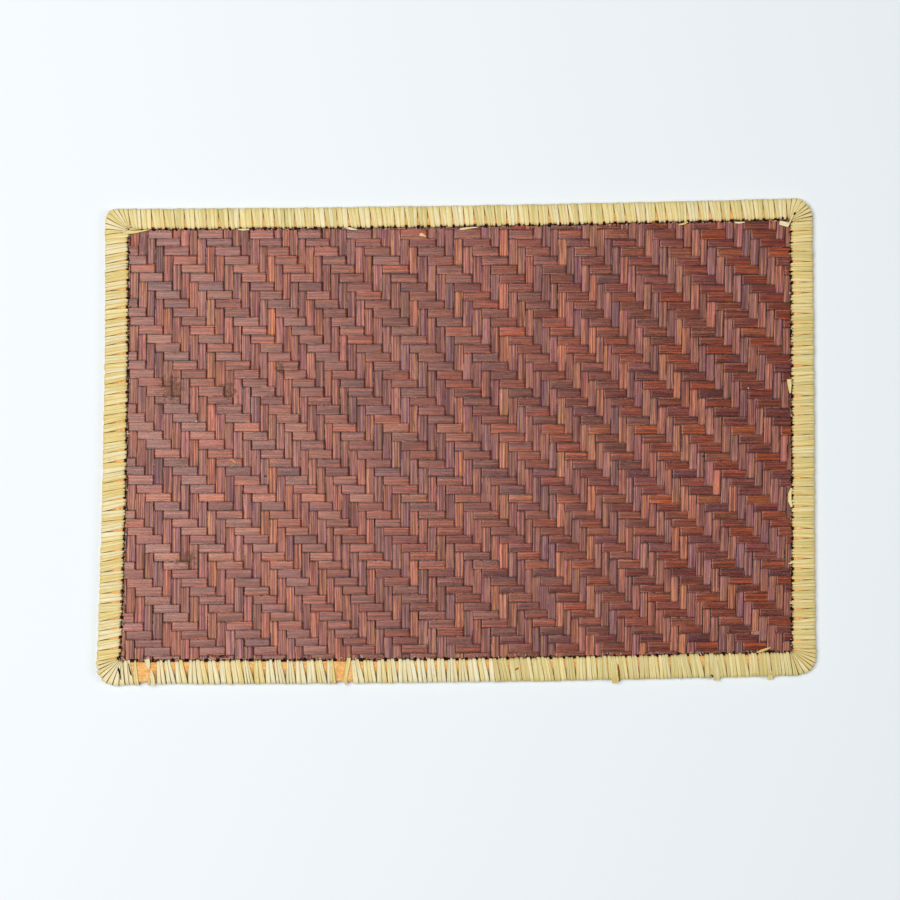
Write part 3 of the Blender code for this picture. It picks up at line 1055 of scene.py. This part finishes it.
def turn_edges(rim, turn, lift, reach, bulge):
    """A turn's two edges: a pair of points for each place on its way round the rim."""
    edges = []
    for way in OVER + BELOW:
        near = 0.0 if way.edge == "middle" else max(0.0, 1 - way.across / LOOSE_ENDS_WITHIN)
        across = way.across - near * (reach if way.edge == "inner" else bulge)
        height = way.height + (lift if way in OVER and way.height > ON_TOP else 0.0)
        pair = [
            rim.point(outer + (inner - outer) * way.share, way.edge, across, height)
            for outer, inner in zip(turn.outer, turn.inner if way in OVER else turn.under)
        ]
        middle = (pair[0] + pair[1]) / 2
        edges.append([middle + (point - middle) * way.wide for point in pair])
    return edges


def turn_rings(rim, turn, rng):
    """The rings of one turn of strand round the rim, and where round a ring its points lie."""
    place = sum(turn.outer) / 2
    tip = rng.uniform(*winding_at(rim, place).tip) + rng.uniform(-TIP_UNEVEN, TIP_UNEVEN)
    lift = rng.uniform(*LIFTS) + abs(tip) * TIP_LIFT
    crease = rng.choice(CREASES)
    crease_at = rng.uniform(-CREASE_OFF, CREASE_OFF)
    reach, bulge = rng.uniform(*REACH), turn_bulge(rim, place, rng)
    edges = turn_edges(rim, turn, lift, reach, bulge)
    centres = [(a + b) / 2 for a, b in edges]
    core = rim.point(place, "middle", 0.5, RIM_CORE)
    top_places = (-1.0, -CROWN_PLACE, crease_at, CROWN_PLACE, 1.0)
    rings = []
    for step, (a, b) in enumerate(edges):
        half = (b - a) / 2
        ahead = centres[min(step + 1, len(centres) - 1)] - centres[max(step - 1, 0)]
        normal = ahead.cross(half).normalized()
        if normal.dot(centres[step] - core) < 0:
            normal = -normal
        tipped = tip * half.length if centres[step].z > ON_TOP else 0.0
        ring = []
        for across in top_places:
            rise = STRAND_THICKNESS / 2 - STRAND_CROWN * across ** 2 + tipped * across
            if across == crease_at:
                rise -= crease
            ring.append(centres[step] + half * across + normal * rise)
        for across in (1.0, -1.0):
            low = -STRAND_THICKNESS / 2 + tipped * across
            ring.append(centres[step] + half * across * UNDERSIDE + normal * low)
        rings.append(ring)
    return rings, (*top_places, 1.0, -1.0)


def distances(rings):
    """How far along the strand each ring lies."""
    found = [0.0]
    for a, b in zip(rings, rings[1:]):
        found.append(found[-1] + (b[0] - a[0]).length)
    return found


STRAND_STREAKS = Grain(40.0, 1.9, 1.9, 3.0, 0.6)
STRAND_HAIRS = Grain(90.0, 9.0, 2.7, 2.0, 0.5)
STRAND_SPOTS = Grain(500.0, 1.4, 3.3, 3.0, 0.5)
STRAND_FIBRE = (0.56, 0.39, 0.10)
STRAND_COATS = (
    Coat("streaks", 0.52, 0.38, 0.40, STRAND_FIBRE),
    Coat("streaks", 0.50, 0.62, 0.40, (0.97, 0.93, 0.72)),
    Coat("hairs", 0.42, 0.32, 0.50, STRAND_FIBRE),
    Coat("spots", 0.62, 0.74, 0.45, (0.50, 0.28, 0.08)),
    Coat("edge", 0.62, 0.84, 0.45, (0.84, 0.55, 0.10)),
    # Brown at the very edges: partly the cut edges' colour, partly painted shade of the slits between
    # turns.
    Coat("edge", 0.86, 0.99, 0.55, (0.20, 0.075, 0.010)),
)
STRAND_ROUGH = 0.36
STRAND_ROUGHER = 0.25  # how much rougher it is between its hairs
STRAND_RELIEF = (0.00035, 0.9)


def strand_finish():
    """Straw yellow split strand: fibres, whitish streaks, brown cut edges and painted slit shade."""
    finish = Finish("pale_strand", Metallic=0.0, Specular_IOR_Level=0.5)
    _, across, _ = finish.parts(finish.kept("fibre"))
    masks = {
        "streaks": finish.grain(STRAND_STREAKS),
        "hairs": finish.grain(STRAND_HAIRS),
        "spots": finish.grain(STRAND_SPOTS),
        "edge": abs(across),
    }
    finish.feed(
        Base_Color=finish.coats(finish.kept("dye", "Color"), masks, STRAND_COATS),
        Roughness=STRAND_ROUGH + STRAND_ROUGHER * masks["hairs"],
        Normal=finish.bump(masks["streaks"] + masks["hairs"] * SECOND_RELIEF, *STRAND_RELIEF),
    )
    return finish.material


strand_look = strand_finish()
for rim in RIMS.values():
    rng = random.Random("turns " + rim.side.name)
    strands = Strands()
    for turn in turns_of(rim, rng):
        rings, across = turn_rings(rim, turn, rng)
        shade = rng.choice(winding_at(rim, turn.outer[0]).dyes)
        strands.add(rings, distances(rings), across, [shade] * len(rings))
    made = strands.piece("wound_strand_" + rim.side.name, strand_look, "binding_strand")
    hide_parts("binding_" + rim.side.name)
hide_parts("binding_front_corner")

# The awl holes. At the end of each band the awl was pushed through the weave beside the slat. It
# left a pit with a ragged lip, drawn in near-black as painted shade, and bits of torn fibre that
# stand up between the turns.
HOLE_LIP = 2.42
# A hole's rings, from outside in: height, and radius as a share of the lip's.
HOLE_RINGS = ((1.9, 1.2), (HOLE_LIP, 1.0), (HOLE_LIP - 0.03, 0.86), (HOLE_LIP - 0.2, 0.5))
HOLE_SPOKES = 9
HOLE_LONG = (0.8, 1.15)  # half a hole's length along the rim
HOLE_WIDE = (0.75, 1.1)  # and half its width
SMALL_HOLE = 0.62  # size of the tears beside a turn's end, as a share of a hole's
HOLE_OUT = 0.15  # from the rim's inner edge out to the middle of a hole, under the turns
HOLE_STRAY = 0.3  # how far its middle may lie off that
HOLE_JAGS = (0.65, 1.3)  # how far a hole's points lie in or out, as shares
SMALL_HOLES_WITHIN = 1.0  # how far in from a band's ends they lie
FIBRES = (1, 3)  # torn fibres for each band
FIBRE_IN = (0.0, 1.2)  # how far in from the rim a torn fibre starts
FIBRE_ROOT = 2.3  # and how high
FIBRE_LENGTH = (0.7, 1.9)
FIBRE_RISE = (0.2, 0.9)
FIBRE_WIDTH = (0.25, 0.6)
FIBRE_TAPER = (1.0, 0.8, 0.3)
FIBRE_ARCH = 0.8  # share of its rise that it has at its middle
SLIVER_THICKNESS = 0.2
SLIVER_CROWN = 0.12  # height of its crown as a share of its width
SLIVER_CROWN_MOST = 0.3
# Near-black painted shade of a hole's pit, and a dark colour for its lip and for some torn fibre.
HOLE_PAINTED_SHADE = (0.006, 0.003, 0.003, 1.0)
DARK_FIBRE_AND_HOLE_SHADE = (0.035, 0.014, 0.010, 1.0)
TORN_OCHRE = (0.55, 0.29, 0.06, 1.0)
TORN_PALE = (0.90, 0.82, 0.55, 1.0)


def hole_and_painted_shade(strands, rim, distance, size, rng):
    """A hole's lip and pit in dark painted shade, at a distance along the rim."""
    out_of_rim = HOLE_OUT + rng.uniform(-HOLE_STRAY, HOLE_STRAY)
    middle = rim.point(distance, "inner", out_of_rim, 0.0)
    edge = rim.point(distance, "inner", 0.0, 0.0)
    inward = (rim.point(distance, "inner", -1.0, 0.0) - edge).normalized()
    along_rim = inward.cross(Vector((0, 0, 1)))
    long, wide = size * rng.uniform(*HOLE_LONG), size * rng.uniform(*HOLE_WIDE)
    jags = [rng.uniform(*HOLE_JAGS) for _ in range(HOLE_SPOKES)]
    rings = []
    for height, radius in HOLE_RINGS:
        ring = []
        for spoke, jag in enumerate(jags):
            angle = math.tau * spoke / HOLE_SPOKES
            out = along_rim * math.cos(angle) * long + inward * math.sin(angle) * wide
            ring.append(middle + out * radius * jag + Vector((0, 0, height)))
        rings.append(ring)
    dyes = [DARK_FIBRE_AND_HOLE_SHADE, DARK_FIBRE_AND_HOLE_SHADE, HOLE_PAINTED_SHADE, HOLE_PAINTED_SHADE]
    strands.add(rings, [0.0] * len(rings), [0.0] * HOLE_SPOKES, dyes)


def sliver(strands, path, widths, dye):
    """A flat loose bit of strand or fibre along a path of points."""
    rings = []
    for place, (point, width) in enumerate(zip(path, widths)):
        ahead = path[min(place + 1, len(path) - 1)] - path[max(place - 1, 0)]
        aside = ahead.cross(Vector((0, 0, 1))).normalized() * width / 2
        up = Vector((0, 0, SLIVER_THICKNESS / 2))
        crown = Vector((0, 0, min(width * SLIVER_CROWN, SLIVER_CROWN_MOST)))
        above, below = point + up, point - up
        rings.append([above - aside, above + crown, above + aside, below + aside, below - aside])
    strands.add(rings, distances(rings), (-1.0, 0.0, 1.0, 1.0, -1.0), [dye] * len(rings))


def torn_fibre(strands, rim, distance, rng):
    """A bit of fibre that the awl pushed up."""
    start = rim.point(distance, "inner", -rng.uniform(*FIBRE_IN), FIBRE_ROOT)
    angle = rng.uniform(0, math.tau)
    away = Vector((math.cos(angle), math.sin(angle), 0.0)) * rng.uniform(*FIBRE_LENGTH)
    rise = Vector((0, 0, rng.uniform(*FIBRE_RISE)))
    path = [start, start + away * 0.5 + rise * FIBRE_ARCH, start + away + rise]
    width = rng.uniform(*FIBRE_WIDTH)
    dye = rng.choice((TORN_PALE, TORN_OCHRE, TORN_OCHRE, DARK_FIBRE_AND_HOLE_SHADE))
    sliver(strands, path, [width * share for share in FIBRE_TAPER], dye)


DUST_SCALE = 1500.0
DUST_PATCH = (0.40, 0.62)  # the noise where there is none, and where it is full
DUSTY = (0.45, 0.42, 0.45)  # times the fibre's colour
TORN_RELIEF = (0.0002, 0.6)


def torn_and_shade_finish():
    """Torn and dusty fibre, and the dark painted shade of holes and slits."""
    finish = Finish("torn_fibre", Metallic=0.0, Roughness=0.8, Specular_IOR_Level=0.2)
    place = finish.node("TexCoord", {}, {}, "Object")
    dust = finish.noise(place, detail=3.0, scale=DUST_SCALE)
    dye = finish.kept("dye", "Color")
    colour = finish.mix(finish.mask(dust, *DUST_PATCH), dye, finish.times(dye, DUSTY))
    finish.feed(Base_Color=colour, Normal=finish.bump(dust, *TORN_RELIEF))
    return finish.material


torn_and_shade_look = torn_and_shade_finish()
tears_and_shade = Strands()
for rim in RIMS.values():
    rng = random.Random("holes " + rim.side.name)
    bands = bands_of(rim)
    for band, after in zip(bands, bands[1:] + bands[-1:]):
        between = band.end + (band.sway + after.sway) / 2
        size = winding_at(rim, band.start).hole
        hole_and_painted_shade(tears_and_shade, rim, between, size, rng)
        start, end = band.start + SMALL_HOLES_WITHIN, band.end - SMALL_HOLES_WITHIN
        for _ in range(band.turns):
            hole_and_painted_shade(tears_and_shade, rim, rng.uniform(start, end), size * SMALL_HOLE, rng)
        for _ in range(rng.randint(*FIBRES)):
            torn_fibre(tears_and_shade, rim, rng.uniform(band.start, band.end), rng)
tears_and_shade.piece("awl_tears", torn_and_shade_look, "woven_strips")

# The loose ends and splinters. Where a strand was joined or cut off, its end lies on the weave or
# sticks out of the binding. Chips of strand and bamboo are caught in the weave, slivers stand over
# its edge, and dark slits and spots laid on the turns are painted shade between them.
ON_WEAVE = 2.45
CHIP = (0.86, 0.50, 0.20, 1.0)
ORANGE_CHIP = (0.60, 0.22, 0.06, 1.0)
DARK_CHIP = (0.07, 0.025, 0.012, 1.0)
ROSY_CHIP = (0.46, 0.24, 0.17, 1.0)
GREY_CHIP = (0.36, 0.25, 0.22, 1.0)
SLIVER_RED = (0.34, 0.09, 0.03, 1.0)
SLIVER_BROWN = (0.30, 0.07, 0.03, 1.0)
# Painted shade for a slit between turns.
SLIT_PAINTED_SHADE = (0.30, 0.11, 0.015, 1.0)
RED_SPOT = (0.50, 0.13, 0.02, 1.0)
BLUE_SPECK = (0.02, 0.03, 0.06, 1.0)
# Each bit has its dye, and then the points along it: x, y, height and width there.
LOOSE = (
    # The tail at the back left corner
    (CREAM, (-209.4, 141.5, 4.6, 1.2), (-208.2, 140.3, 4.2, 1.3), (-206.3, 138.7, 3.4, 1.2),
        (-204.1, 137.9, 3.0, 0.8)),
    (YELLOW, (-210.5, 136.0, 4.6, 2.8), (-207.7, 136.1, 3.7, 2.6), (-204.1, 136.2, 3.0, 2.0),
        (-199.0, 136.8, 2.8, 1.1), (-193.9, 137.6, 2.7, 0.4)),
    (OLIVE, (-206.5, 137.8, 3.3, 0.8), (-202.5, 138.3, 3.2, 1.3), (-198.5, 138.6, 3.1, 1.2),
        (-194.5, 138.9, 2.8, 0.4)),
    # Chips along the back edge
    (CREAM, (-137.3, 137.0, 2.6, 0.8), (-134.0, 136.6, 2.9, 1.3), (-130.3, 136.9, 2.6, 0.7)),
    (TORN_PALE, (-68.5, 137.0, 3.0, 1.6), (-65.5, 136.2, 2.9, 1.5), (-61.6, 135.6, 2.6, 0.5)),
    (CREAM, (3.9, 134.9, 2.6, 1.1), (7.0, 135.2, 2.9, 1.3), (11.0, 135.7, 2.9, 1.0),
        (15.3, 136.0, 2.6, 0.4)),
    (STRAW, (143.2, 135.6, 2.6, 0.6), (146.0, 136.0, 3.0, 1.2), (149.0, 137.2, 3.0, 0.8)),
    (CREAM, (178.9, 136.4, 2.9, 0.9), (182.0, 136.2, 3.0, 1.2), (185.3, 136.6, 2.7, 0.6)),
    (CHIP, (-21.9, 131.9, ON_WEAVE, 2.0), (-20.4, 131.6, 2.9, 2.2), (-18.9, 131.0, 2.8, 1.2),
        (-17.6, 130.2, ON_WEAVE, 0.5)),
    # The cut end and the narrow strand at the back right corner
    (CREAM, (207.3, 135.8, 3.0, 2.6), (210.0, 135.1, 3.4, 3.0), (213.0, 134.2, 3.6, 3.0)),
    (STRAW, (221.7, 149.6, 3.8, 0.9), (218.9, 145.9, 4.9, 1.1), (216.2, 141.4, 5.05, 1.2),
        (214.2, 137.3, 4.7, 1.1), (212.9, 133.8, 3.4, 0.8)),
    # Flaps along the right edge
    (STRAW, (210.6, 35.6, 4.2, 3.0), (210.9, 32.0, 3.6, 2.6), (211.2, 26.9, 2.8, 1.0)),
    (STRAW, (210.4, -33.3, 3.4, 1.3), (209.3, -37.0, 3.0, 2.2), (209.2, -41.5, 3.0, 2.3),
        (210.2, -45.2, 3.4, 1.3)),
    (TORN_PALE, (209.6, -80.0, 3.0, 1.6), (207.4, -81.0, 2.6, 0.3)),
    (TORN_PALE, (209.6, -105.2, 3.0, 1.6), (207.4, -106.0, 2.6, 0.3)),
    # Bits at the front right corner
    (CHIP, (185.9, -136.2, 2.6, 0.7), (188.8, -135.2, 2.8, 1.5), (191.9, -134.2, 2.8, 1.4),
        (194.8, -133.2, 2.6, 0.6)),
    (STRAW, (193.6, -148.0, 4.5, 2.6), (194.1, -151.9, 3.2, 3.6), (194.2, -153.3, 1.6, 3.6)),
    # Wide turns that stand out of the front's binding
    (OLIVE, (95.3, -137.4, 3.8, 3.2), (95.8, -141.3, 4.95, 4.0), (96.3, -146.9, 5.0, 4.2),
        (96.8, -151.6, 4.5, 4.4), (97.1, -153.9, 2.6, 4.2)),
    (DRAB, (158.9, -137.8, 3.8, 2.4), (159.8, -142.5, 4.95, 3.2), (160.3, -148.0, 5.0, 4.4),
        (160.5, -153.2, 2.8, 4.2)),
    # Bits at the front left corner, and at the second bare place
    (CREAM, (-196.8, -134.4, 3.2, 3.2), (-196.2, -136.6, 4.6, 3.2), (-195.7, -138.9, 4.9, 2.4),
        (-195.2, -141.0, 4.8, 0.6)),
    (CREAM, (-193.9, -141.6, 4.8, 1.2), (-193.3, -145.8, 4.8, 2.6), (-192.9, -150.6, 3.6, 2.6)),
    (OLIVE, (-195.3, -146.2, 4.6, 0.8), (-195.3, -148.6, 4.7, 1.9), (-195.6, -150.9, 3.4, 1.7)),
    (STRAW, (-70.0, -135.6, 3.2, 2.4), (-70.6, -139.5, 4.7, 2.6), (-71.6, -145.0, 4.9, 1.9),
        (-72.6, -150.4, 4.2, 2.4), (-71.6, -152.4, 2.4, 1.2)),
    # A bent chip on the weave, and specks
    (ORANGE_CHIP, (-143.6, -9.5, 2.4, 0.8), (-141.7, -10.7, 2.6, 1.3), (-139.8, -12.0, 2.5, 0.9)),
    (DARK_CHIP, (-139.9, -12.2, 2.5, 0.8), (-141.8, -13.3, 2.6, 1.2), (-143.6, -14.5, 2.4, 0.6)),
)
SPLINTERS_AND_SHADE_MARKS = (
    # Slivers that stand over the weave's edge, with a near-black mark of painted shade beside them
    (SLIVER_RED, (122.9, 138.6, 3.4, 0.6), (128.0, 136.6, 2.8, 1.5), (133.6, 133.6, 2.5, 0.5)),
    (SLIVER_RED, (-159.5, -132.0, 2.6, 0.4), (-155.5, -133.2, 3.0, 1.3),
        (-151.0, -134.4, 2.7, 0.6)),
    (SLIVER_BROWN, (-153.0, -134.6, 2.6, 0.5), (-148.5, -133.9, 2.8, 1.0),
        (-144.5, -133.0, 2.5, 0.4)),
    (HOLE_PAINTED_SHADE, (-152.5, -133.9, 2.35, 0.9), (-149.5, -133.5, 2.45, 1.4), (-146.5, -133.9, 2.35, 0.8)),
    # Painted shade: dark marks on the fans where their turns leave each other
    (HOLE_PAINTED_SHADE, (217.4, 142.0, 5.15, 0.5), (216.7, 141.3, 5.2, 1.2), (215.9, 140.4, 5.15, 0.5)),
    (HOLE_PAINTED_SHADE, (209.0, 139.3, 5.1, 0.5), (209.0, 138.3, 5.15, 1.3), (209.1, 137.2, 5.1, 0.5)),
    (HOLE_PAINTED_SHADE, (-215.2, -132.6, 5.0, 0.5), (-214.8, -133.7, 5.1, 1.3), (-214.3, -134.8, 5.0, 0.5)),
    (HOLE_PAINTED_SHADE, (-214.8, -139.3, 5.1, 0.4), (-214.3, -140.6, 5.2, 1.2), (-213.8, -142.4, 5.2, 1.0),
        (-213.0, -147.0, 5.1, 0.3)),
    (HOLE_PAINTED_SHADE, (-208.2, -136.8, 5.1, 0.3), (-207.6, -140.0, 5.2, 0.6), (-206.8, -143.0, 5.2, 0.8),
        (-206.4, -144.5, 5.1, 0.4)),
    # A brown slit and a dark spot of painted shade between the front's turns, and a red spot
    (SLIT_PAINTED_SHADE, (98.5, -141.8, 4.8, 0.5), (98.8, -145.0, 5.0, 1.2), (99.1, -149.0, 4.95, 1.3),
        (99.4, -152.6, 4.0, 0.9)),
    (HOLE_PAINTED_SHADE, (156.9, -149.4, 5.05, 0.6), (157.3, -150.2, 5.05, 1.1), (157.6, -150.9, 4.95, 0.6)),
    (RED_SPOT, (34.0, -144.8, 4.95, 0.7), (35.1, -144.0, 5.05, 1.3), (36.2, -143.3, 4.95, 0.7)),
    # Bits at the front right corner, and specks
    (ROSY_CHIP, (182.8, -123.9, 2.3, 2.2), (185.4, -123.9, 2.5, 2.3), (188.1, -124.0, 2.4, 2.2)),
    (GREY_CHIP, (188.0, -126.2, 2.3, 0.8), (188.0, -128.3, 2.6, 1.1), (187.8, -130.2, 2.5, 0.4)),
    (BLUE_SPECK, (-122.3, -20.6, 2.4, 0.8), (-121.6, -20.6, 2.5, 1.1), (-120.9, -20.5, 2.4, 0.6)),
    (BLUE_SPECK, (154.6, -12.2, 2.4, 0.7), (155.3, -12.2, 2.5, 1.0), (156.0, -12.1, 2.4, 0.6)),
    (TORN_PALE, (-165.3, 14.9, 2.4, 0.5), (-164.9, 14.9, 2.5, 0.8), (-164.4, 14.9, 2.4, 0.5)),
    (TORN_PALE, (184.5, 30.4, 2.4, 0.5), (184.9, 30.4, 2.5, 0.8), (185.3, 30.4, 2.4, 0.5)),
)
for name, table, look, slot in (
    ("loose_ends", LOOSE, strand_look, "binding_strand"),
    ("splinters", SPLINTERS_AND_SHADE_MARKS, torn_and_shade_look, "woven_strips"),
):
    bits = Strands()
    for dye, *points in table:
        path = [Vector(point[:3]) for point in points]
        sliver(bits, path, [point[3] for point in points], dye)
    bits.piece(name, look, slot)

# The table top and the light. The mat lies on a plain pale table under a large soft box, which
# hangs above its left side and is turned a little, and a weaker light fills in from the right.
# The camera looks almost straight down. Here lengths are in metres.
FLOOR_HALF = 4.0
FLOOR_COLOUR = (0.83, 0.875, 0.91, 1.0)
floor_mesh = bpy.data.meshes.new("table_top")
corners = [(x * FLOOR_HALF, y * FLOOR_HALF, 0) for x, y in ((-1, -1), (1, -1), (1, 1), (-1, 1))]
floor_mesh.from_pydata(corners, [], [range(len(corners))])
floor = placed("table_top", floor_mesh)
floor_look = Finish("pale_table", Roughness=0.9, Specular_IOR_Level=0.2, Base_Color=FLOOR_COLOUR)
floor_mesh.materials.append(floor_look.material)

Lamp = namedtuple("Lamp", "name place size power colour aim turn")
SOFT_BOX = Lamp(
    "soft_box", (-1.32, 0.1, 2.5), (2.3, 2.6), 89.0, (1.0, 0.99, 0.98), (-1.32, 0.1, 0.0), -21.0,
)
FILL = Lamp("fill", (2.4, -0.2, 1.8), (1.4, 1.4), 24.0, (0.97, 0.985, 1.0), (0.0, 0.0, 0.0), 0.0)
for lamp in (SOFT_BOX, FILL):
    data = bpy.data.lights.new(lamp.name, "AREA")
    data.shape = "RECTANGLE"
    data.size, data.size_y = lamp.size
    data.energy = lamp.power
    data.color = lamp.colour
    made = placed(lamp.name, data)
    made.location = lamp.place
    facing = Vector(lamp.aim) - Vector(lamp.place)
    made.rotation_euler = facing.to_track_quat("-Z", "Y").to_euler()
    made.rotation_euler.z += math.radians(lamp.turn)

ROOM_COLOUR = (0.93, 0.96, 1.0, 1.0)
ROOM_STRENGTH = 0.12
world = bpy.data.worlds.new("room")
world.use_nodes = True
background = world.node_tree.nodes["Background"]
background.inputs["Color"].default_value = ROOM_COLOUR
background.inputs["Strength"].default_value = ROOM_STRENGTH
bpy.context.scene.world = world
bpy.context.scene.view_settings.view_transform = "Standard"

# The camera: its lens and sensor in millimetres, what it looks at, how far off that is, and how
# far its view is tilted from straight down and rolled.
LENS = 72.0
SENSOR = 36.0
AIM = Vector((-4.64, -5.94, 4.0)) * MM
CAMERA_DISTANCE = 1.1366
TILT = math.radians(3.401)
ROLL_OF_VIEW = math.radians(-0.882)
back = Vector((0, -math.sin(TILT), math.cos(TILT)))
level_right = Vector((1, 0, 0))
level_up = back.cross(level_right)
right = level_right * math.cos(ROLL_OF_VIEW) + level_up * math.sin(ROLL_OF_VIEW)
camera_data = bpy.data.cameras.new("above")
camera_data.lens = LENS
camera_data.sensor_width = SENSOR
camera = placed("above", camera_data)
turned = Matrix((right, back.cross(right), back)).transposed().to_4x4()
camera.matrix_world = Matrix.Translation(AIM + back * CAMERA_DISTANCE) @ turned
bpy.context.scene.camera = camera
